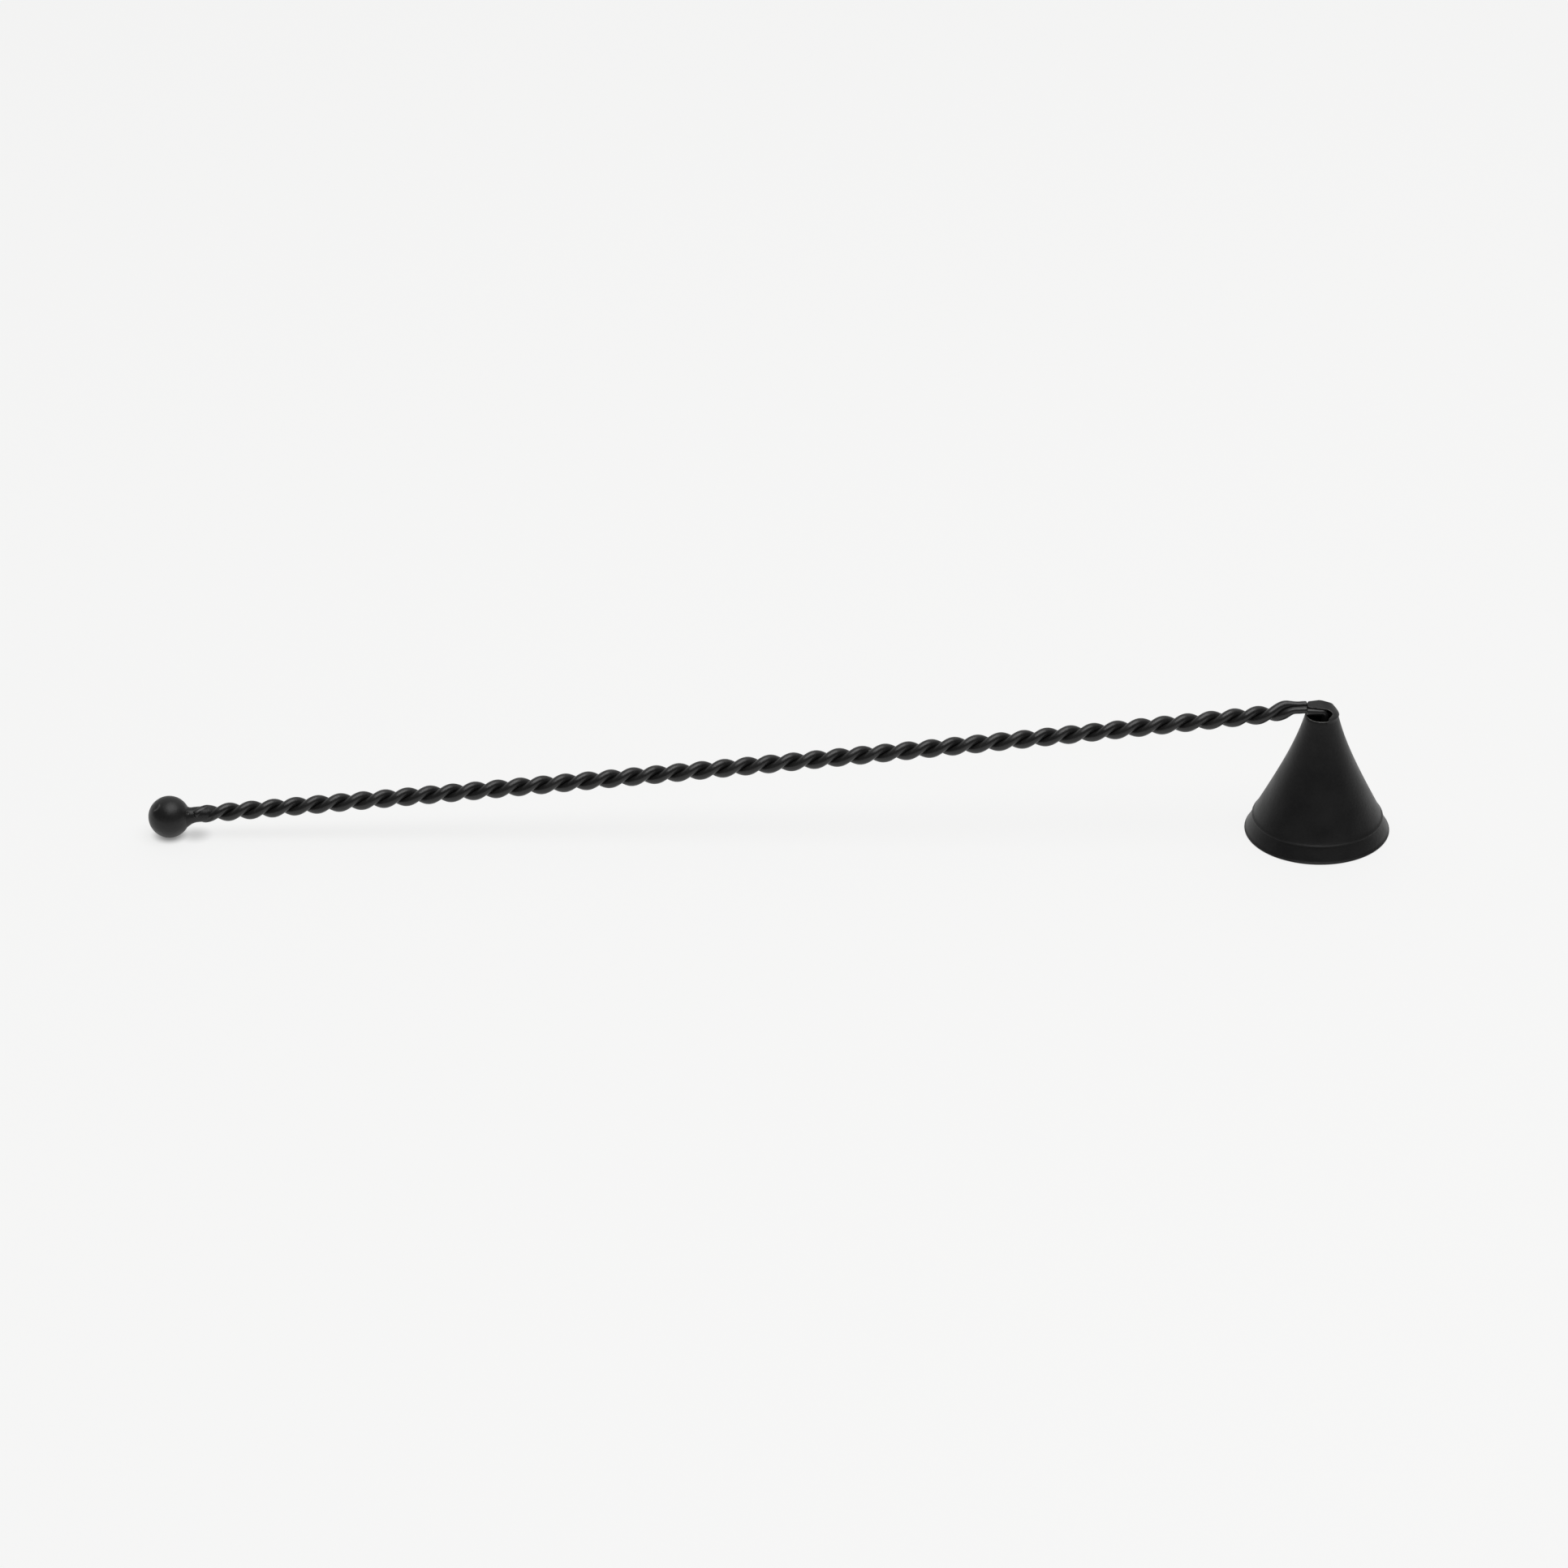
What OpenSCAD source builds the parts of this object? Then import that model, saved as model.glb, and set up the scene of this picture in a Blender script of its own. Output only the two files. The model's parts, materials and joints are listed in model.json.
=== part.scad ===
// Candle snuffer: a small steel bell hooked on the end of a twisted two-wire handle, with a ball knob.
// It stands on the bell's rim and the ball. X runs along the handle towards the bell, Z is up,
// and the origin is on the table, midway along the overall length.

/* [Overall] */
// Overall length, ball to rim
overall_length = 295; // [240:1:340]

/* [Bell] */
// Outer diameter of the rim
rim_d = 34.3; // [32:0.1:37]
// Outer diameter of the mouth at the top
mouth_d = 7.8; // [7.6:0.1:8]
// Height of the mouth above the rim
mouth_z = 31.3; // [31.2:0.1:31.5]
// Thickness of the sheet
sheet = 0.45; // [0.44:0.01:0.48]
// Height of the plain band above the rim
band_h = 3.9; // [3:0.1:5]
// Depth of the step above the band
band_step = 0.3; // [0.1:0.05:0.4]

/* [Handle] */
// Diameter of each twisted wire
wire_d = 2.2; // [1.9:0.02:2.2]
// Diameter of each wire where it is pressed under the tongue
pressed_d = 1.7; // [1.5:0.02:1.7]
// Height of the handle's line at the bell's axis
handle_z = 32.8; // [32.7:0.1:32.9]
// How far the middle of the handle hangs below a straight line
sag = 1; // [0:0.05:1.5]
// Number of full turns in the twist
turns = 24.46; // [20:0.02:26]
// How much tighter the twist is at the ball than at its middle
tightening = 0.028; // [0:0.001:0.05]

/* [Ball] */
// Diameter of the ball
ball_d = 10; // [9:0.1:12]
// Diameter of the weld's neck
neck_d = 3.7; // [3.2:0.1:4]

/* [Hidden] */

bell_x = overall_length / 2 - rim_d / 2;
ball_x = -overall_length / 2 + ball_d / 2;
reach = bell_x - ball_x;
rim_r = rim_d / 2;
mouth_r = mouth_d / 2;
round_fn = 96;

// --- bell profile: a gentle flare, steeper at the mouth than at the rim
rim_slope = -0.45;
mouth_slope = -0.24;
profile_steps = 18;
land = 0.35;

// --- tongue, measured from the bell's axis
tongue_t = 0.3;
tongue_root = [4.06, 30.4];
tongue_bulge = [4.6, 31.7];
tongue_turn = [3.1, 33.67];
tongue_top = [-0.7, 34.04];
tongue_end = [-3, 34.07];
root_half_w = 3.6;
top_half_w = 1.25;
end_half_w = 0.8;
narrowing = [0.2, 1];
flattening = [0.3, 0.8];
leaning = [0.3, 1];
fold_steps = 12;
flat_steps = 4;
cross_steps = 8;

// --- wires at the hook, measured from the bell's axis
gap = 0.03;
twist_h = wire_d / 2 + gap;
pressed_h = pressed_d / 2 + gap;
twist_end = -8.02;
tip_angle = 18;
tip_corner = 3;
rise_x = [-11.5, -6];
pinch_x = [-9, -6];
level_z = 33.1;
swell = 0.08;
swell_x = [-5.2, -3.9];
dip_x = [-3.6, -3.1];
dip_slope = -0.04;
bend_x = 0.22;
bend_z = 31.62;
bend_r = 0.95;
leg_bottom = 28;
strand_start = ball_d / 2 + 2.6;
rings_per_turn = 14;
ring_sides = 8;
tip_from = -11.5;
tip_steps = 24;
bend_steps = 8;

function mix(a, b, t) = a + (b - a) * t;
function clamp01(t) = min(1, max(0, t));
function ease(t) = clamp01(t) * clamp01(t) * (3 - 2 * clamp01(t));
function share(x, span) = ease((x - span[0]) / (span[1] - span[0]));
function unit(v) = v / norm(v);
function bezier(p, t) =
    pow(1 - t, 3) * p[0] + 3 * pow(1 - t, 2) * t * p[1]
    + 3 * (1 - t) * t * t * p[2] + pow(t, 3) * p[3];

// Outer radius of the plain cone at height z
function cone_r(z) =
    let (t = z / mouth_z)
    (1 + 2 * t) * pow(1 - t, 2) * rim_r + t * pow(1 - t, 2) * mouth_z * rim_slope
    + t * t * (3 - 2 * t) * mouth_r + t * t * (t - 1) * mouth_z * mouth_slope;

// --- handle line and wires

// Height of the twist's centre line, x from the bell's axis
function line_z(x) =
    let (t = -x / reach)
    mix(handle_z, ball_d / 2, t) - 4 * sag * t * (1 - t);

// Length of twist left at distance d before its end, with a soft stop
function twist_left(d) =
    d > tip_corner ? d : d < -tip_corner ? 0 : pow(d + tip_corner, 2) / (4 * tip_corner);

// Angle of the far strand round the centre line; 0 is level and behind
function twist_angle(x) =
    let (t = twist_left(twist_end - x) / (twist_end + reach))
    tip_angle + 360 * turns * t * (1 - tightening + tightening * t);

// Centre line of the pressed wires: level, up to meet the tongue's end, then down under it
function pressed_z(x) =
    let (slope_deg = atan(dip_slope))
    let (bend_start = [bend_x - bend_r * sin(slope_deg), bend_z + bend_r * cos(slope_deg)])
    let (dipped = bend_start[1] + dip_slope * (x - bend_start[0]))
    mix(level_z + swell * share(x, swell_x), dipped, share(x, dip_x));

function centre_z(x) = mix(line_z(x), pressed_z(x), share(x, rise_x));
function strand_r(x) = mix(wire_d, pressed_d, share(x, pinch_x)) / 2;
function strand_h(x) = mix(twist_h, pressed_h, share(x, pinch_x));

// Where a strand's centre lies from the centre line, as [y, z]; side is 1 for the far strand, -1 for the near
function aside(x, side) = side * strand_h(x) * [cos(twist_angle(x)), sin(twist_angle(x))];

function strand_ring(x, side) =
    let (off = aside(x, side))
    [[x, off[0], centre_z(x) + off[1]], strand_r(x)];

// Centre line and radius of a whole strand: twist, pressed run, bend, leg
function strand_rings(side) =
    let (x0 = strand_start - reach)
    let (n = ceil(rings_per_turn * turns))
    let (slope_deg = atan(dip_slope))
    let (straight_end = bend_x - bend_r * sin(slope_deg))
    let (off = aside(straight_end, side))
    concat(
        [for (i = [0 : n - 1]) strand_ring(mix(x0, tip_from, i / n), side)],
        [for (i = [0 : tip_steps - 1]) strand_ring(mix(tip_from, straight_end, i / tip_steps), side)],
        [for (i = [0 : bend_steps])
            let (a = mix(90 + slope_deg, 0, i / bend_steps))
            [[bend_x + bend_r * cos(a), off[0], bend_z + bend_r * sin(a) + off[1]], pressed_d / 2]],
        [[[bend_x + bend_r, off[0], leg_bottom], pressed_d / 2]]
    );

function ring_tangent(rings, i) =
    unit(rings[min(i + 1, len(rings) - 1)][0] - rings[max(i - 1, 0)][0]);

function ring_points(rings, i) =
    let (t = ring_tangent(rings, i))
    let (u = unit([0, 1, 0] - t[1] * t))
    let (v = cross(t, u))
    [for (k = [0 : ring_sides - 1])
        let (a = 360 * (k + 0.5) / ring_sides)
        rings[i][0] + rings[i][1] * (cos(a) * u + sin(a) * v)];

// A closed tube through the given centres and radii
module tube(rings) {
    n = len(rings);
    m = ring_sides;
    points = [for (i = [0 : n - 1]) each ring_points(rings, i)];
    start_cap = [[for (k = [0 : m - 1]) k]];
    end_cap = [[for (k = [m - 1 : -1 : 0]) (n - 1) * m + k]];
    sides = [for (i = [0 : n - 2]) for (k = [0 : m - 1]) each [
        [i * m + k, (i + 1) * m + k, (i + 1) * m + (k + 1) % m],
        [i * m + k, (i + 1) * m + (k + 1) % m, i * m + (k + 1) % m]
    ]];
    polyhedron(points, concat(start_cap, end_cap, sides));
}

// --- bell

module bell_shell() {
    outer = concat(
        [[rim_r - land / 2, 0], [rim_r, land]],
        [for (i = [1 : 3]) [cone_r(mix(0, band_h, i / 3)), mix(0, band_h, i / 3)]],
        [[cone_r(band_h) + band_step, band_h + 0.1]],
        [for (i = [1 : profile_steps])
            let (t = i / profile_steps)
            let (z = mix(band_h + 0.1, mouth_z, t))
            [cone_r(z) + band_step * pow(1 - t, 6), z]]
    );
    inner = [for (i = [0 : profile_steps])
        let (z = mix(mouth_z, 0, i / profile_steps))
        [cone_r(z) - sheet * (1 + 0.9 * ease(1 - z / band_h)), z]];
    rotate_extrude($fn = round_fn) polygon(concat(outer, inner));
}

// Outer line of the tongue as [x, z]: up the back wall, over, and flat towards the handle
function tongue_outer(i) =
    i <= fold_steps
    ? bezier([tongue_root, tongue_bulge, tongue_turn, tongue_top], i / fold_steps)
    : mix(tongue_top, tongue_end, (i - fold_steps) / flat_steps);

function tongue_normal(i) =
    let (last = fold_steps + flat_steps)
    let (d = unit(tongue_outer(min(i + 1, last)) - tongue_outer(max(i - 1, 0))))
    [d[1], -d[0]];

function tongue_half_w(i) =
    i <= fold_steps
    ? mix(root_half_w, top_half_w, share(i / fold_steps, narrowing))
    : mix(top_half_w, end_half_w, (i - fold_steps) / flat_steps);

// The root keeps the roundness of the cone; the fold flattens it and leans it to lie on both wires
function tongue_point(i, across, depth) =
    let (y = across * tongue_half_w(i))
    let (round_r = tongue_root[0])
    let (roundness = 1 - share(i / fold_steps, flattening))
    let (fall = roundness * (round_r - sqrt(round_r * round_r - y * y)))
    let (lean = tip_angle * share(i / fold_steps, leaning))
    let (p = tongue_outer(i) - [fall, 0])
    let (n = tongue_normal(i))
    [
        p[0] - depth * n[0],
        y * cos(lean) + depth * n[1] * sin(lean),
        p[1] + y * sin(lean) - depth * n[1] * cos(lean)
    ];

module tongue() {
    n = fold_steps + flat_steps;
    m = cross_steps + 1;
    layer = (n + 1) * m;
    points = [for (depth = [0, tongue_t]) for (i = [0 : n]) for (k = [0 : cross_steps])
        tongue_point(i, 1 - 2 * k / cross_steps, depth)];
    skins = [for (i = [0 : n - 1]) for (k = [0 : cross_steps - 1])
        let (a = i * m + k)
        each [
            [a, a + 1, a + m + 1], [a, a + m + 1, a + m],
            [layer + a, layer + a + m + 1, layer + a + 1], [layer + a, layer + a + m, layer + a + m + 1]
        ]];
    long_edges = [for (i = [0 : n - 1])
        let (a = i * m)
        let (b = a + cross_steps)
        each [
            [a, a + m, layer + a + m], [a, layer + a + m, layer + a],
            [b, layer + b + m, b + m], [b, layer + b, layer + b + m]
        ]];
    end_edges = [for (k = [0 : cross_steps - 1])
        let (a = k)
        let (b = n * m + k)
        each [
            [a, layer + a, layer + a + 1], [a, layer + a + 1, a + 1],
            [b, layer + b + 1, layer + b], [b, b + 1, layer + b + 1]
        ]];
    polyhedron(points, concat(skins, long_edges, end_edges));
}

module bell() {
    color("#1c1c1d")
    translate([bell_x, 0, 0]) {
        bell_shell();
        tongue();
    }
}

// --- handle

module strand(side) {
    color("#262627")
    translate([bell_x, 0, 0]) tube(strand_rings(side));
}

module near_strand() {
    strand(-1);
}

module far_strand() {
    strand(1);
}

module ball_knob() {
    color("#222223")
    translate([ball_x, 0, ball_d / 2]) sphere(d = ball_d, $fn = round_fn);
}

// A collar on the handle's line, flared where it meets the ball
module weld_neck() {
    lean = atan((line_z(8 - reach) - ball_d / 2) / 8);
    neck_r = neck_d / 2;
    flare = 1.2;
    flare_start = 4.2;
    flare_steps = 6;
    outline = concat(
        [[0, 3.5], [neck_r + flare, 3.5]],
        [for (i = [0 : flare_steps])
            let (a = 90 * i / flare_steps)
            [neck_r + flare * (1 - sin(a)), flare_start + flare * (1 - cos(a)) * 1.6]],
        [[neck_r, 6.8], [wire_d * 0.98, 7.6], [wire_d * 0.98, 9.6], [wire_d * 0.7, 11], [0, 11.2]]
    );
    color("#222223")
    difference() {
        translate([ball_x, 0, ball_d / 2])
        rotate([0, 90 - lean, 0])
        rotate_extrude($fn = round_fn) polygon(outline);
        translate([ball_x, 0, ball_d / 2]) sphere(d = ball_d, $fn = round_fn);
    }
}

bell();
near_strand();
far_strand();
ball_knob();
weld_neck();
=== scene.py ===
"""Looks of the candle snuffer: spun bell, two twisted wires, ball and weld, all in black powder coat."""

import json
import math

import bmesh
import bpy
from mathutils import Matrix, Vector, noise


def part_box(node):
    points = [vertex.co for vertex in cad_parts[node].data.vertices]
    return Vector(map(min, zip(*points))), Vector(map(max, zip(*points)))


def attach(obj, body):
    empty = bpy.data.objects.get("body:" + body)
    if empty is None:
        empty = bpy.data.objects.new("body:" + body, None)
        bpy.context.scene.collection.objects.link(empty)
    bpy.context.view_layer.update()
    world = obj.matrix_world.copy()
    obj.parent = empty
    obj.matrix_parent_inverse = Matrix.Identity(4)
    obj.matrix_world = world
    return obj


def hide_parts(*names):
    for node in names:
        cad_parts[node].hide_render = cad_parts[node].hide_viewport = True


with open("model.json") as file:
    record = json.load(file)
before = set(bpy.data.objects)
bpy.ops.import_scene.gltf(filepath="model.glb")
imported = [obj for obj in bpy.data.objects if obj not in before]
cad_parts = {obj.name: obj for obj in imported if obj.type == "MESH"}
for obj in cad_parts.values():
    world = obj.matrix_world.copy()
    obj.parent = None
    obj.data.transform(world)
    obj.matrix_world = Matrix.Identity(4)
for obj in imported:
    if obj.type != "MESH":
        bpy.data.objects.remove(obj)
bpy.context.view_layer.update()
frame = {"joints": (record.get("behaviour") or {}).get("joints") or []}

MM = 0.001

# ---------------------------------------------------------------- places, all from the frame

bell_low, bell_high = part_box("bell")
ball_low, ball_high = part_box("ball_knob")
BELL_X = (bell_low.x + bell_high.x) / 2
RIM_R = (bell_high.x - bell_low.x) / 2
BALL_C = (ball_low + ball_high) / 2
BALL_R = (ball_high.x - ball_low.x) / 2
REACH = BELL_X - BALL_C.x
HOOK = Vector(frame["joints"][0]["pos_m"])

# ---------------------------------------------------------------- sizes of the real pieces

MOUTH_R = 3.9 * MM
MOUTH_Z = 31.3 * MM
SHEET = 0.42 * MM
TONGUE_SHEET = 0.26 * MM
BAND_SHEET = 0.52 * MM
RIM_SHEET = 0.46 * MM
RIM_LIFT = 0.03 * MM
RIM_FLARE = 0.09 * MM
RIM_SLOPE = -0.45
MOUTH_SLOPE = -0.24
BAND_H = 3.9 * MM
STEP = 0.32 * MM
LEAN = 0.35 * MM
WALL_WANDER = 0.02 * MM
MOUTH_WANDER = 0.05 * MM

WIRE_D = 2.27 * MM
PRESSED_D = 1.73 * MM
HANDLE_Z = 32.8 * MM
SAG = 1.0 * MM
TURNS = 24.46
TIGHTENING = 0.028
TWIST_END = -8.02 * MM
TIP_ANGLE = math.radians(18)
TIP_CORNER = 3 * MM
RISE = (-11.5 * MM, -6 * MM)
PINCH = (-9 * MM, -6 * MM)
LEVEL_Z = 33.1 * MM
SWELL = 0.08 * MM
SWELL_AT = (-5.2 * MM, -3.9 * MM)
DIP = (-3.34 * MM, -3.1 * MM)
DIP_SLOPE = -0.04
BEND_R = 0.95 * MM
LEG_BOTTOM = 28 * MM
WELD_END = 11.5 * MM
COAT_FILL = 0.03 * MM
FUSED_FILL = 0.2 * MM
FUSED = (8 * MM, 16 * MM)


def mix(a, b, t):
    return a + (b - a) * t


def ease(t):
    t = min(1.0, max(0.0, t))
    return t * t * (3 - 2 * t)


def share(x, span):
    """How far x has come along span, eased."""
    return ease((x - span[0]) / (span[1] - span[0]))


# ---------------------------------------------------------------- mesh helpers


def make_object(name, points, faces, body, nodes, wear_and_highlight=None):
    mesh = bpy.data.meshes.new(name)
    mesh.from_pydata([tuple(p) for p in points], [], faces)
    mesh.validate()
    tidy = bmesh.new()
    tidy.from_mesh(mesh)
    bmesh.ops.recalc_face_normals(tidy, faces=tidy.faces)
    tidy.to_mesh(mesh)
    tidy.free()
    mesh.polygons.foreach_set("use_smooth", [True] * len(mesh.polygons))
    layer = mesh.attributes.new("wear_and_highlight", "FLOAT", "POINT")
    layer.data.foreach_set("value", wear_and_highlight or [0.0] * len(mesh.vertices))
    obj = bpy.data.objects.new(name, mesh)
    bpy.context.scene.collection.objects.link(obj)
    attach(obj, body)
    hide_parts(*nodes)
    return obj


def grid_faces(rows, columns, closed):
    """Quads between consecutive rows; closed joins the last column to the first."""
    last = columns if closed else columns - 1
    faces = []
    for i in range(rows - 1):
        for j in range(last):
            here, beside = i * columns + j, i * columns + (j + 1) % columns
            faces.append((here, beside, beside + columns, here + columns))
    return faces


def fan(centre, ring):
    return [(centre, ring[k], ring[(k + 1) % len(ring)]) for k in range(len(ring))]


def rounded_sheet(points, normals, thickness, faces, edge_steps=4):
    """A thin sheet from its outer surface: adds the inner surface and a half-round edge where the sheet ends.

    Returns points, faces and how close each point is to an edge (1 on it).
    """
    count = len(points)
    inner = [p - n * t for p, n, t in zip(points, normals, thickness)]
    out_points = list(points) + inner
    out_faces = list(faces) + [tuple(i + count for i in reversed(f)) for f in faces]
    wear_and_highlight = [0.0] * (2 * count)

    uses = {}
    for f in faces:
        for k in range(len(f)):
            a, b = f[k], f[(k + 1) % len(f)]
            uses.setdefault(frozenset((a, b)), []).append((a, b, f))
    border = [(a, b, f) for sides in uses.values() if len(sides) == 1 for a, b, f in sides]

    outward = {}
    for a, b, f in border:
        middle = sum((points[i] for i in f), Vector()) / len(f)
        along = (points[b] - points[a]).normalized()
        away = (points[a] + points[b]) / 2 - middle
        away -= along * away.dot(along)
        for i in (a, b):
            outward[i] = outward.get(i, Vector()) + away.normalized()

    rims = {}
    for i, away in outward.items():
        n = normals[i]
        away = (away - n * away.dot(n)).normalized()
        centre = (points[i] + inner[i]) / 2
        half = thickness[i] / 2
        rims[i] = [i]
        for k in range(1, edge_steps):
            angle = math.pi * k / edge_steps
            rims[i].append(len(out_points))
            out_points.append(centre + half * (math.cos(angle) * n + math.sin(angle) * away))
            wear_and_highlight.append(math.sin(angle))
        rims[i].append(i + count)
    for a, b, _ in border:
        for k in range(edge_steps):
            out_faces.append((rims[b][k], rims[a][k], rims[a][k + 1], rims[b][k + 1]))
    return out_points, out_faces, wear_and_highlight


# ---------------------------------------------------------------- bell


def cone_r(z):
    """Outer radius of the plain cone at height z."""
    t = z / MOUTH_Z
    return (
        (1 + 2 * t) * (1 - t) ** 2 * RIM_R
        + t * (1 - t) ** 2 * MOUTH_Z * RIM_SLOPE
        + t * t * (3 - 2 * t) * MOUTH_R
        + t * t * (t - 1) * MOUTH_Z * MOUTH_SLOPE
    )


# The flared shoulder above the band: height above the band in mm, and share of the step
SHOULDER = (
    (-0.05, 0.0), (0.0, 0.3), (0.04, 0.75), (0.08, 0.95), (0.13, 1.0), (0.2, 0.93),
    (0.3, 0.78), (0.45, 0.62), (0.65, 0.48), (0.95, 0.36),
)


def bell_outline():
    """Rows (r, z, thickness) of the outer surface from the rim's round edge up to the mouth."""
    edge = RIM_SHEET / 2
    rows = []
    for k in range(5):
        angle = math.radians(mix(-20, 60, k / 4))
        z = RIM_LIFT + edge + edge * math.sin(angle)
        rows.append((RIM_R + RIM_FLARE - edge + edge * math.cos(angle), z, RIM_SHEET))
    for k in range(1, 13):
        z = mix(2 * edge, BAND_H - 0.12 * MM, k / 12)
        out = mix(RIM_FLARE, -0.02 * MM, ease(k / 12))
        rows.append((cone_r(z) + out, z, mix(RIM_SHEET, BAND_SHEET, k / 12)))
    for z_up, out in SHOULDER:
        rows.append((cone_r(BAND_H + z_up * MM) + out * STEP, BAND_H + z_up * MM, BAND_SHEET))
    steps = 48
    top_up, top_out = SHOULDER[-1]
    for k in range(1, steps + 1):
        z = mix(BAND_H + top_up * MM, MOUTH_Z - SHEET / 2, k / steps)
        rows.append((cone_r(z) + STEP * top_out * (1 - k / steps) ** 8, z, SHEET))
    return rows


TONGUE_HALF_ANGLE = math.radians(72)
TONGUE_NECK_ANGLE = math.radians(67)
TONGUE_FILLET = 0.8 * MM
TONGUE_COLUMNS = 48
FOLD_STEPS = 26
FLAT_STEPS = 12
FOLD = (Vector((4.2, 30.2)), Vector((4.6, 31.7)), Vector((3.1, 33.67)), Vector((-0.7, 34.04)))
TONGUE_END = Vector((-3.3, 34.07))
TOP_HALF_W = 1.25 * MM
END_HALF_W = 0.8 * MM
NARROWING_FAR = (0.2, 0.88)
NARROWING_NEAR = (0.33, 0.86)
FLATTENING = (0.3, 0.8)
LEANING = (0.55, 1)
END_CORNERS = (1.88, 2)


def tongue_side(t):
    """Point (x, z) of the tongue's outer line: 0 to 1 goes over the fold, 1 to 2 along the flat."""
    if t <= 1:
        u = 1 - t
        p = FOLD[0] * u**3 + FOLD[1] * 3 * u * u * t + FOLD[2] * 3 * u * t * t + FOLD[3] * t**3
    else:
        p = FOLD[3].lerp(TONGUE_END, t - 1)
    return p * MM


def tongue_rows(start):
    """Rows of (point, normal) across the tongue, carried on from the wall's last row, at height start."""
    rows = []
    first = next(k / 200 for k in range(200) if tongue_side(k / 200).y > start)
    ticks = [mix(first, 1, k / FOLD_STEPS) for k in range(1, FOLD_STEPS + 1)]
    ticks += [1 + k / FLAT_STEPS for k in range(1, FLAT_STEPS + 1)]
    for t in ticks:
        here, ahead = tongue_side(max(t - 0.01, 0)), tongue_side(min(t + 0.01, 2))
        along = (ahead - here).normalized()
        normal = Vector((along.y, 0, -along.x))
        spine = tongue_side(t)
        rise = min(1.0, (spine.y - start) / TONGUE_FILLET)
        flare = 1 - math.sqrt(1 - (1 - rise) ** 2)
        root_w = MOUTH_R * math.sin(mix(TONGUE_NECK_ANGLE, TONGUE_HALF_ANGLE, flare))
        top_w = TOP_HALF_W if t <= 1 else mix(TOP_HALF_W, END_HALF_W, t - 1)
        near_w, far_w = (mix(root_w, top_w, share(t, span)) for span in (NARROWING_NEAR, NARROWING_FAR))
        roundness = 1 - share(t, FLATTENING)
        roll = Matrix.Rotation(TIP_ANGLE * share(t, LEANING), 3, "X")
        corner = share(t, END_CORNERS)
        middle = Vector((spine.x, 0, spine.y))
        row = []
        for j in range(TONGUE_COLUMNS + 1):
            across = math.sin((2 * j / TONGUE_COLUMNS - 1) * TONGUE_HALF_ANGLE) / math.sin(TONGUE_HALF_ANGLE)
            y = across * (near_w if across < 0 else far_w)
            fall = roundness * (MOUTH_R - math.sqrt(MOUTH_R**2 - y * y))
            pull = corner * 0.1 * MM * abs(across) ** 6
            tilt = Vector((0, y / MOUTH_R, 0)) * roundness
            n = (normal * math.sqrt(max(0.0, 1 - tilt.y**2)) + tilt).normalized()
            row.append((middle + roll @ Vector((pull - fall, y, 0)), roll @ n))
        rows.append(row)
    return rows


def make_bell():
    outline = bell_outline()
    per_column = TONGUE_HALF_ANGLE * 2 / TONGUE_COLUMNS
    columns = round(2 * math.pi / per_column)
    turn = 2 * math.pi / columns
    half = TONGUE_COLUMNS // 2
    points, normals, thickness = [], [], []

    for i, (r, z, t) in enumerate(outline):
        r0, z0, _ = outline[max(i - 1, 0)]
        r1, z1, _ = outline[min(i + 1, len(outline) - 1)]
        slope = Vector((z1 - z0, r0 - r1)).normalized()
        for j in range(columns):
            angle = turn * j
            out = Vector((math.cos(angle), math.sin(angle), 0))
            wander = WALL_WANDER * noise.noise(Vector((3 * out.x, 3 * out.y, z * 90)))
            nick = MOUTH_WANDER * noise.noise(Vector((9 * out.x, 9 * out.y, 4.0)))
            height = z + (nick if i == len(outline) - 1 else 0)
            points.append(out * (r + wander) + Vector((0, 0, height)))
            normals.append((out * slope.x + Vector((0, 0, slope.y))).normalized())
            thickness.append(t)
    faces = grid_faces(len(outline), columns, closed=True)

    below = [(len(outline) - 1) * columns + (j - half) % columns for j in range(TONGUE_COLUMNS + 1)]
    for row in tongue_rows(outline[-1][1] + 0.1 * MM):
        these = []
        for p, n in row:
            these.append(len(points))
            points.append(p)
            normals.append(n)
            thickness.append(TONGUE_SHEET)
        faces += [(below[j], below[j + 1], these[j + 1], these[j]) for j in range(TONGUE_COLUMNS)]
        below = these

    points, faces, wear_and_highlight = rounded_sheet(points, normals, thickness, faces)
    # Edges are lighter: rubbed wear low on the bell, and towards the mouth a painted highlight on the lip and
    # tongue edges
    wear_and_highlight = [w * mix(0.6, 2.2, share(p.z, (MOUTH_Z / 2, MOUTH_Z))) for w, p in zip(wear_and_highlight, points)]
    points = [p + Vector((BELL_X + LEAN * p.z / MOUTH_Z, 0, 0)) for p in points]
    return make_object("bell_sheet", points, faces, "bell", ["bell"], wear_and_highlight)


# ---------------------------------------------------------------- wires


DOWN = Vector((0, 0, -1))


def line_z(x):
    """Height of the twist's centre line; x is measured from the bell's axis."""
    t = -x / REACH
    return mix(HANDLE_Z, BALL_C.z, t) - 4 * SAG * t * (1 - t)


def twist_left(d):
    """Length of twist left at distance d before its end, with a soft stop."""
    if abs(d) >= TIP_CORNER:
        return max(d, 0.0)
    return (d + TIP_CORNER) ** 2 / (4 * TIP_CORNER)


def twist_angle(x):
    """Angle of the far strand round the centre line; 0 is level and behind."""
    t = twist_left(TWIST_END - x) / (TWIST_END + REACH)
    return TIP_ANGLE + 2 * math.pi * TURNS * t * (1 - TIGHTENING + TIGHTENING * t)


def bend_start():
    slope = math.atan(DIP_SLOPE)
    hook_x = HOOK.x - BELL_X
    return Vector((hook_x - BEND_R * math.sin(slope), HOOK.z + BEND_R * math.cos(slope)))


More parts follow.
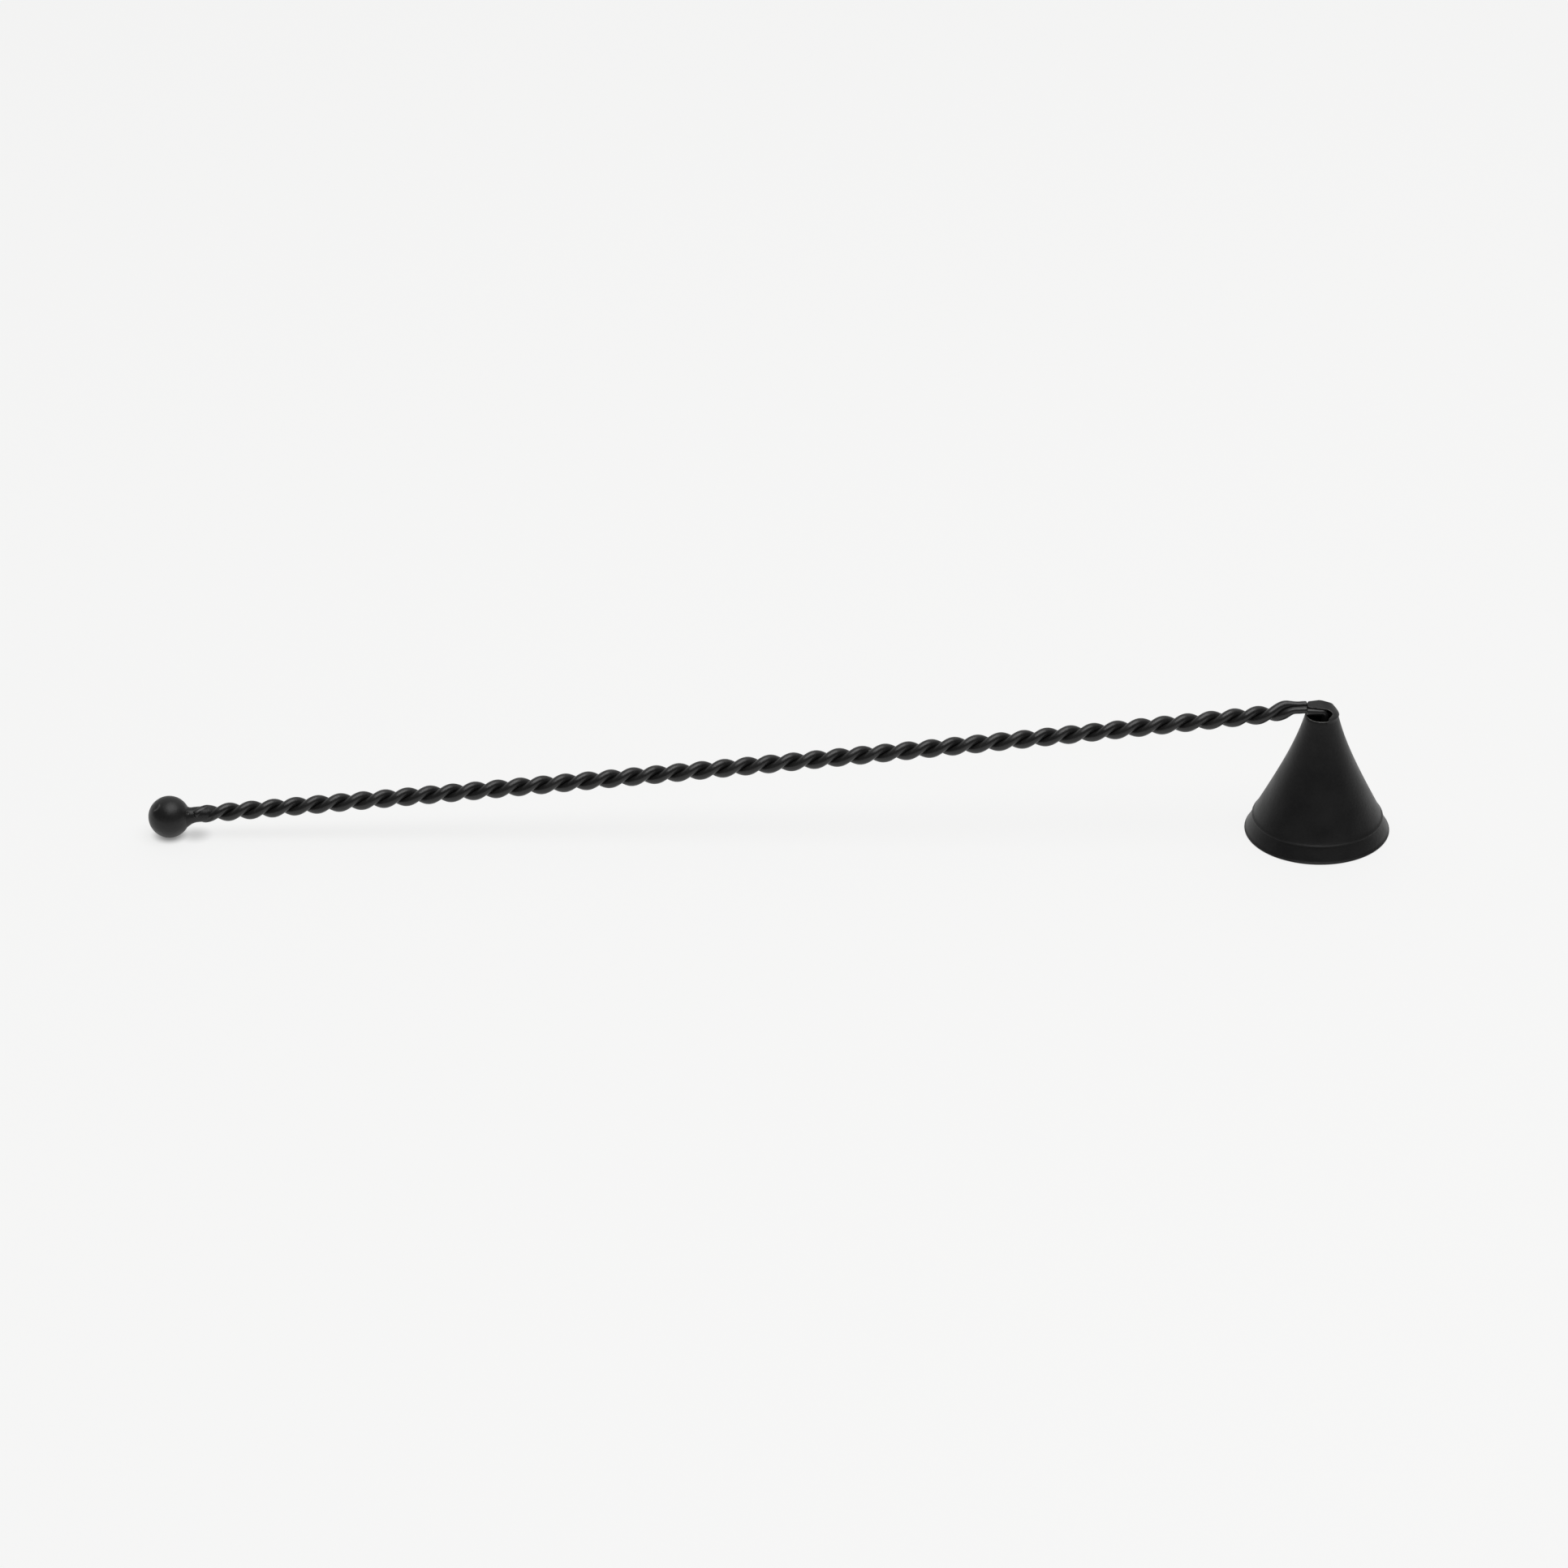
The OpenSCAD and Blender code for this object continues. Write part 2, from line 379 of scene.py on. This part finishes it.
def centre_z(x):
    """Height midway between the two strands."""
    start = bend_start()
    level = LEVEL_Z + SWELL * share(x, SWELL_AT)
    pressed = mix(level, start.y + DIP_SLOPE * (x - start.x), share(x, DIP))
    return mix(line_z(x), pressed, share(x, RISE))


def strand_radius(x):
    return mix(WIRE_D, PRESSED_D, share(x, PINCH)) / 2


def strand_fill(x):
    """How far each strand sinks into the other: a little under the coat, more where the weld fuses them."""
    return mix(FUSED_FILL, COAT_FILL, share(x + REACH, FUSED))


def aside(x, side):
    """From the centre line to a strand's centre; side is 1 for the far strand and -1 for the near one."""
    angle = twist_angle(x)
    return side * (strand_radius(x) - strand_fill(x)) * Vector((0, math.cos(angle), math.sin(angle)))


def strand_ring(x, side):
    """Centre, radius and direction of a strand at x. The step at the tongue doesn't turn the direction."""

    def without_step(at):
        return Vector((at, 0, mix(line_z(at), LEVEL_Z, share(at, RISE)))) + aside(at, side)

    along = without_step(x + 0.05 * MM) - without_step(x - 0.05 * MM)
    return Vector((x, 0, centre_z(x))) + aside(x, side), strand_radius(x), along.normalized()


def strand_path(side, start):
    """Rings from the weld, along the twist, under the tongue and down the hook."""
    rings_per_turn = 44
    turn_rings = round(rings_per_turn * TURNS)
    begin = bend_start()
    places = [mix(start, RISE[0], i / turn_rings) for i in range(turn_rings)]
    places += [mix(RISE[0], begin.x, i / 150) for i in range(150)]
    rings = [strand_ring(x, side) for x in places]

    off = aside(begin.x, side)
    hook_x = HOOK.x - BELL_X
    first = math.pi / 2 + math.atan(DIP_SLOPE)
    r = PRESSED_D / 2
    for i in range(17):
        angle = mix(first, 0, i / 16)
        round_bend = Vector((hook_x + BEND_R * math.cos(angle), 0, HOOK.z + BEND_R * math.sin(angle)))
        rings.append((round_bend + off, r, Vector((math.sin(angle), 0, -math.cos(angle)))))
    foot = Vector((hook_x + BEND_R, off.y, 0))
    top = HOOK.z + off.z
    for i in range(1, 9):
        rings.append((foot + Vector((0, 0, mix(top, LEG_BOTTOM, i / 8))), r, DOWN))
    for drop, width in ((0.08, 0.96), (0.16, 0.86), (0.2, 0.7)):
        rings.append((foot + Vector((0, 0, LEG_BOTTOM - drop * MM)), r * width, DOWN))
    return rings


def tube(rings, sides):
    """Points and faces of a closed tube with flat ends."""
    points = []
    for centre, radius, along in rings:
        across = (Vector((0, 1, 0)) - along * along.y).normalized()
        up = along.cross(across)
        for k in range(sides):
            angle = 2 * math.pi * k / sides
            points.append(centre + radius * (math.cos(angle) * across + math.sin(angle) * up))
    faces = grid_faces(len(rings), sides, closed=True)
    last = (len(rings) - 1) * sides
    points += [rings[0][0], rings[-1][0]]
    faces += fan(len(points) - 2, list(range(sides)))
    faces += fan(len(points) - 1, [last + k for k in reversed(range(sides))])
    return points, faces


def make_strand(name, side, node):
    start = BALL_C.x + BALL_R + 1.2 * MM - BELL_X
    points, faces = tube(strand_path(side, start), 22)
    shift = Vector((BELL_X, 0, 0))
    wear_and_highlight = []
    for p in points:
        # The coat is drawn lighter on the upper crests of the wires, in patches
        rub_and_highlight = 0.5 + 0.5 * noise.noise(Vector((p.x * 160, p.y * 400, p.z * 400)))
        top = ease((p.z - centre_z(p.x) - 1.4 * MM) / (0.8 * MM))
        wear_and_highlight.append(0.6 * rub_and_highlight * top)
    return make_object(name, [p + shift for p in points], faces, "handle", [node], wear_and_highlight)


# ---------------------------------------------------------------- ball and weld

# Directions used to place marks: towards the viewer's side and up, as the object is usually seen
FRONT = Vector((0, -0.87, 0.49))
UP = Vector((0, 0.49, 0.87))


def make_ball():
    """A ball with slight flats from forming and one crescent nick in its coat."""
    rows, columns = 145, 216
    nick_at = (Vector((-0.6, 0, 0)) + FRONT * 0.63 + UP * 0.49).normalized()
    nick_radius, nick_width, nick_height = 0.2, 0.04, 0.09 * MM
    plain_r = BALL_R - 0.02 * MM
    points, wear_and_highlight = [], []
    for i in range(1, rows - 1):
        polar = math.pi * i / (rows - 1)
        for j in range(columns):
            angle = 2 * math.pi * j / columns
            round_x = Vector((0, math.cos(angle), math.sin(angle)))
            d = Vector((math.cos(polar), 0, 0)) + round_x * math.sin(polar)
            ridge = math.exp(-(((d - nick_at).length - nick_radius) / nick_width) ** 2)
            side = ease(((d - nick_at).dot(Vector((0.75, 0, 0)) - UP * 0.66) - 0.02) / 0.12)
            swell = 0.02 * MM * noise.noise(d * 2.2) + 0.008 * MM * noise.noise(d * 7)
            points.append(BALL_C + d * (plain_r + swell + nick_height * ridge * side))
            wear_and_highlight.append(2 * ridge * side)
    faces = grid_faces(rows - 2, columns, closed=True)
    points += [BALL_C + Vector((plain_r, 0, 0)), BALL_C - Vector((plain_r, 0, 0))]
    wear_and_highlight += [0.0, 0.0]
    last = (rows - 3) * columns
    faces += fan(len(points) - 2, list(reversed(range(columns))))
    faces += fan(len(points) - 1, [last + k for k in range(columns)])
    return make_object("ball", points, faces, "handle", ["ball_knob"], wear_and_highlight)


NECK_R = 1.83 * MM
WELD_LUMPS = 0.06 * MM
WELD_RIPPLES = 0.02 * MM
# Pits in the weld: distance from the ball's centre in mm, direction, radius in mm, depth in mm
PITS = (
    (4.5, FRONT * 0.95 + UP * 0.25, 0.34, 0.16),
    (5.6, FRONT * 0.7 + UP * 0.7, 0.25, 0.08),
    (6.3, FRONT * 0.98 - UP * 0.1, 0.4, 0.1),
    (9.3, FRONT * 0.9 + UP * 0.45, 0.22, 0.1),
    (5.2, UP * 0.4 - FRONT, 0.35, 0.12),
    (7.2, UP * 0.2 - FRONT, 0.3, 0.09),
)


def smooth_max(a, b, soft):
    h = ease(0.5 + (a - b) / (2 * soft))
    return mix(b, a, h) + soft * h * (1 - h) * 0.5


def weld_radius(s, d):
    """Radius of the weld at distance s (mm) from the ball's centre, in direction d round the handle."""
    below = (1 - d.dot(UP)) / 2
    tight = 0.3 * MM * (1 - min(1, max(0, (s - 4.3) / 0.9))) ** 2
    wide = 1.95 * MM * (1 - min(1, max(0, (s - 3.3) / 3.9))) ** 2.2
    neck = NECK_R + mix(tight, wide, below**1.2)

    x = BALL_C.x + s * MM - BELL_X
    angle = math.atan2(d.z, d.y) - twist_angle(x)
    r = WIRE_D / 2
    h = r - strand_fill(x)
    lobes = h * abs(math.cos(angle)) + math.sqrt(max(0.0, r * r - (h * math.sin(angle)) ** 2))
    over = mix(0.02, -0.12, ease((s - 10.2) / 1.2)) * MM
    fill = mix(NECK_R * 1.02, 0.7 * MM, ease((s - 8.8) / 2.8))
    twisted = smooth_max(lobes + over, fill, 0.25 * MM)
    return mix(neck, twisted, ease((s - 6.4) / 2.0))


def make_weld():
    """The fused collar: wide fillet below, tight one on top, flow marks and pits, ending in the twist."""
    rows, columns = 104, 72
    s_from, s_to = 3.0, WELD_END / MM + 0.4
    points, wear_and_highlight = [], []
    for i in range(rows):
        s = mix(s_from, s_to, i / (rows - 1))
        x = BALL_C.x + s * MM - BELL_X
        centre = Vector((BELL_X + x, 0, line_z(x)))
        for j in range(columns):
            angle = 2 * math.pi * j / columns
            d = Vector((0, math.cos(angle), math.sin(angle)))
            r = weld_radius(s, d)
            rough = ease((s - 3.6) / 1.0) * ease((10.8 - s) / 2.0)
            place = Vector((s * 0.55, d.y * 1.4, d.z * 1.4))
            r += rough * (WELD_LUMPS * noise.noise(place) + WELD_RIPPLES * noise.noise(place * 3.1))
            mark = 0.0
            for pit_s, pit_d, size, depth in PITS:
                away = math.hypot(s - pit_s, (d - pit_d.normalized()).length * 1.9) / size
                hole = math.exp(-(away**2) * 2.2)
                lip = math.exp(-((away - 1.15) ** 2) * 9)
                r += MM * (0.35 * depth * lip - depth * hole)
                mark = max(mark, lip * 2 * depth)
            if i == 0:
                r = min(r, math.sqrt(BALL_R**2 - (s * MM) ** 2) * 0.9)
            points.append(centre + d * r)
            wear_and_highlight.append(mark)
    faces = grid_faces(rows, columns, closed=True)
    ends = [Vector((BALL_C.x + s * MM, 0, line_z(BALL_C.x + s * MM - BELL_X))) for s in (s_from, s_to)]
    points += ends
    wear_and_highlight += [0.0, 0.0]
    last = (rows - 1) * columns
    faces += fan(len(points) - 2, list(range(columns)))
    faces += fan(len(points) - 1, [last + k for k in reversed(range(columns))])
    return make_object("weld", points, faces, "handle", ["weld_neck"], wear_and_highlight)


# ---------------------------------------------------------------- materials


def map_range(tree, source, limits, kind):
    """Output of a Map Range node; limits are from min, from max, to min, to max."""
    made = tree.nodes.new("ShaderNodeMapRange")
    made.interpolation_type = kind
    for key, value in zip(("From Min", "From Max", "To Min", "To Max"), limits):
        made.inputs[key].default_value = value
    tree.links.new(source, made.inputs["Value"])
    return made.outputs["Result"]


# Colour of rubbed coat, also used as a painted highlight on the bell's lip and tongue edges
RUBBED_AND_HIGHLIGHT = (0.12, 0.118, 0.115)
DUST = (0.3, 0.29, 0.27)


def coat_material(name, dark, light, roughness, ior, grain_depth, speck_share):
    """Powder coat: two close blacks in patches, fine grain, orange peel, pale dust specks, and a lighter coat
    at marked points, which are rubbed edges and painted highlights.
    """
    material = bpy.data.materials.new(name)
    material.use_nodes = True
    tree = material.node_tree
    shader = tree.nodes["Principled BSDF"]
    link = tree.links.new

    def node(kind, **inputs):
        made = tree.nodes.new(kind)
        for key, value in inputs.items():
            made.inputs[key.replace("_", " ")].default_value = value
        return made

    def noise_at(scale, detail):
        made = node("ShaderNodeTexNoise", Scale=scale, Detail=detail)
        link(place.outputs["Object"], made.inputs["Vector"])
        return made

    def ramp(source, low, high, low_value, high_value):
        return map_range(tree, source, (low, high, low_value, high_value), "LINEAR")

    def blend(factor, first, second):
        made = tree.nodes.new("ShaderNodeMix")
        made.data_type = "RGBA"
        link(factor, made.inputs["Factor"])
        for socket, value in ((made.inputs[6], first), (made.inputs[7], second)):
            if isinstance(value, tuple):
                socket.default_value = (*value, 1)
            else:
                link(value, socket)
        return made.outputs[2]

    def times(a, b):
        made = tree.nodes.new("ShaderNodeMath")
        made.operation = "MULTIPLY"
        link(a, made.inputs[0])
        link(b, made.inputs[1])
        return made.outputs["Value"]

    place = tree.nodes.new("ShaderNodeTexCoord")
    patches = noise_at(170, 4)
    mottle = noise_at(1400, 3)
    grain = noise_at(5200, 2)
    peel = noise_at(1500, 1)
    rub_and_highlight = tree.nodes.new("ShaderNodeAttribute")
    rub_and_highlight.attribute_name = "wear_and_highlight"

    specks = node("ShaderNodeTexVoronoi", Scale=420.0)
    link(place.outputs["Object"], specks.inputs["Vector"])
    dot = ramp(specks.outputs["Distance"], 0.05, 0.075, 1, 0)
    chosen = tree.nodes.new("ShaderNodeSeparateColor")
    link(specks.outputs["Color"], chosen.inputs["Color"])
    rare = ramp(chosen.outputs["Red"], 1 - speck_share, 1 - speck_share * 0.8, 0, 1)

    colour = blend(ramp(patches.outputs["Fac"], 0.35, 0.68, 0, 1), dark, light)
    colour = blend(ramp(mottle.outputs["Fac"], 0.45, 0.8, 0, 0.35), colour, tuple(c * 1.7 for c in light))
    broken = ramp(mottle.outputs["Fac"], 0.3, 0.7, 0.1, 0.5)
    # A lighter coat where the mesh attribute is set: rubbed wear, and painted highlights on the bell's lip
    # and tongue edges
    colour = blend(times(rub_and_highlight.outputs["Fac"], broken), colour, RUBBED_AND_HIGHLIGHT)
    colour = blend(times(dot, rare), colour, DUST)
    link(colour, shader.inputs["Base Color"])
    uneven = ramp(patches.outputs["Fac"], 0.3, 0.7, roughness - 0.035, roughness + 0.045)
    link(uneven, shader.inputs["Roughness"])
    shader.inputs["Metallic"].default_value = 0.0
    shader.inputs["IOR"].default_value = ior

    fine = tree.nodes.new("ShaderNodeBump")
    fine.inputs["Strength"].default_value = 0.35
    fine.inputs["Distance"].default_value = grain_depth
    link(grain.outputs["Fac"], fine.inputs["Height"])
    soft = tree.nodes.new("ShaderNodeBump")
    soft.inputs["Strength"].default_value = 0.3
    soft.inputs["Distance"].default_value = grain_depth * 3
    link(peel.outputs["Fac"], soft.inputs["Height"])
    link(fine.outputs["Normal"], soft.inputs["Normal"])
    link(soft.outputs["Normal"], shader.inputs["Normal"])
    return material


# ---------------------------------------------------------------- stage, light and camera


FLOOR_HALF = 9.0
FLOOR_GLOW = 0.77
# Painted shadows, where the floor glows less: centre x, radius of the dark part, radius where it ends, glow
# left at the centre
FLOOR_PAINTED_SHADOWS = (
    (BELL_X, RIM_R - 0.8 * MM, RIM_R - 0.2 * MM, 0.0),
    (BALL_C.x, 1.2 * MM, 5 * MM, 0.25),
    (BALL_C.x + 6 * MM, 0.5 * MM, 5 * MM, 0.68),
)
ROOM_TOWARDS = (0, 1.0, 0.5)
ROOM_DARK = 0.07
ROOM_BRIGHT = 0.62
LIGHTS = (
    ("softbox_top", (0.2, -0.28, 1.5), (1.5, 1.25), 19.0),
)


def make_floor():
    """A white sweep that glows evenly, as in an overlit studio, with painted shadows where the glow is
    dimmed: inside the bell's rim, under the ball and under the neck beside it.
    """
    mesh = bpy.data.meshes.new("floor")
    corners = [(x * FLOOR_HALF, y * FLOOR_HALF, 0) for x, y in ((-1, -1), (1, -1), (1, 1), (-1, 1))]
    mesh.from_pydata(corners, [], [(0, 1, 2, 3)])
    floor = bpy.data.objects.new("floor", mesh)
    bpy.context.scene.collection.objects.link(floor)
    material = bpy.data.materials.new("floor_white")
    material.use_nodes = True
    tree = material.node_tree
    link = tree.links.new
    shader = tree.nodes["Principled BSDF"]
    shader.inputs["Base Color"].default_value = (0.15, 0.15, 0.15, 1)
    shader.inputs["Emission Color"].default_value = (1.0, 1.0, 0.995, 1)
    shader.inputs["Roughness"].default_value = 0.75
    shader.inputs["Specular IOR Level"].default_value = 0.15
    place = tree.nodes.new("ShaderNodeTexCoord")
    glow = None
    # Each entry dims the floor's glow round a point: a painted shadow
    for centre_x, inner, outer, glow_in_shadow in FLOOR_PAINTED_SHADOWS:
        away = tree.nodes.new("ShaderNodeVectorMath")
        away.operation = "DISTANCE"
        away.inputs[1].default_value = (centre_x, 0, 0)
        link(place.outputs["Object"], away.inputs[0])
        dimmed = tree.nodes.new("ShaderNodeMath")
        dimmed.operation = "MULTIPLY"
        painted_shadow = map_range(tree, away.outputs["Value"], (inner, outer, glow_in_shadow, 1.0), "SMOOTHSTEP")
        link(painted_shadow, dimmed.inputs[0])
        if glow:
            link(glow, dimmed.inputs[1])
        else:
            dimmed.inputs[1].default_value = FLOOR_GLOW
        glow = dimmed.outputs["Value"]
    link(glow, shader.inputs["Emission Strength"])
    mesh.materials.append(material)


def make_light():
    """Soft white room, darker on the viewer's side, with one large softbox overhead."""
    world = bpy.data.worlds.new("studio")
    bpy.context.scene.world = world
    world.use_nodes = True
    tree = world.node_tree
    link = tree.links.new
    back = tree.nodes["Background"]
    place = tree.nodes.new("ShaderNodeTexCoord")
    facing = tree.nodes.new("ShaderNodeVectorMath")
    facing.operation = "DOT_PRODUCT"
    facing.inputs[1].default_value = ROOM_TOWARDS
    link(place.outputs["Generated"], facing.inputs[0])
    strength = map_range(tree, facing.outputs["Value"], (0.1, 0.85, ROOM_DARK, ROOM_BRIGHT), "SMOOTHSTEP")
    link(strength, back.inputs["Strength"])
    back.inputs["Color"].default_value = (1, 1, 1, 1)

    for name, place_at, size, power in LIGHTS:
        lamp = bpy.data.lights.new(name, "AREA")
        lamp.shape = "RECTANGLE"
        lamp.size, lamp.size_y = size
        lamp.energy = power
        lamp_obj = bpy.data.objects.new(name, lamp)
        lamp_obj.location = place_at
        lamp_obj.rotation_mode = "QUATERNION"
        lamp_obj.rotation_quaternion = (-Vector(place_at)).to_track_quat("-Z", "Y")
        bpy.context.scene.collection.objects.link(lamp_obj)


CAMERA_DISTANCE = 2.3185
CAMERA_ELEVATION = 29.64
CAMERA_AZIMUTH = 0.604
CAMERA_LENS = 223.6
CAMERA_AIM = Vector((3.6, 6.6, 9.3)) * MM


def make_camera():
    data = bpy.data.cameras.new("camera")
    data.lens = CAMERA_LENS
    data.sensor_width = 36
    data.clip_start, data.clip_end = 0.05, 50
    camera = bpy.data.objects.new("camera", data)
    bpy.context.scene.collection.objects.link(camera)
    elevation, azimuth = math.radians(CAMERA_ELEVATION), math.radians(CAMERA_AZIMUTH)
    level = Vector((math.sin(azimuth), math.cos(azimuth), 0))
    look = level * math.cos(elevation) - Vector((0, 0, math.sin(elevation)))
    camera.location = CAMERA_AIM - look * CAMERA_DISTANCE
    camera.rotation_mode = "QUATERNION"
    camera.rotation_quaternion = look.to_track_quat("-Z", "Y")
    bpy.context.scene.camera = camera


# ---------------------------------------------------------------- build

# Two close blacks, roughness, index of refraction, grain depth in metres, share of cells with a dust speck
BELL_COAT = (0.0050, 0.0050, 0.0052), (0.0068, 0.0068, 0.0069), 0.43, 1.39, 0.00003, 0.05
WIRE_COAT = (0.0100, 0.0100, 0.0102), (0.0140, 0.0138, 0.0137), 0.31, 1.47, 0.00002, 0.015
BALL_COAT = (0.0062, 0.0062, 0.0064), (0.0088, 0.0086, 0.0086), 0.41, 1.4, 0.00003, 0.02

bell_coat = coat_material("bell_coat", *BELL_COAT)
wire_coat = coat_material("wire_coat", *WIRE_COAT)
ball_coat = coat_material("ball_coat", *BALL_COAT)

make_bell().data.materials.append(bell_coat)
make_strand("near_wire", -1, "near_strand").data.materials.append(wire_coat)
make_strand("far_wire", 1, "far_strand").data.materials.append(wire_coat)
make_ball().data.materials.append(ball_coat)
make_weld().data.materials.append(ball_coat)

make_floor()
make_light()
make_camera()
bpy.context.scene.view_settings.view_transform = "Standard"
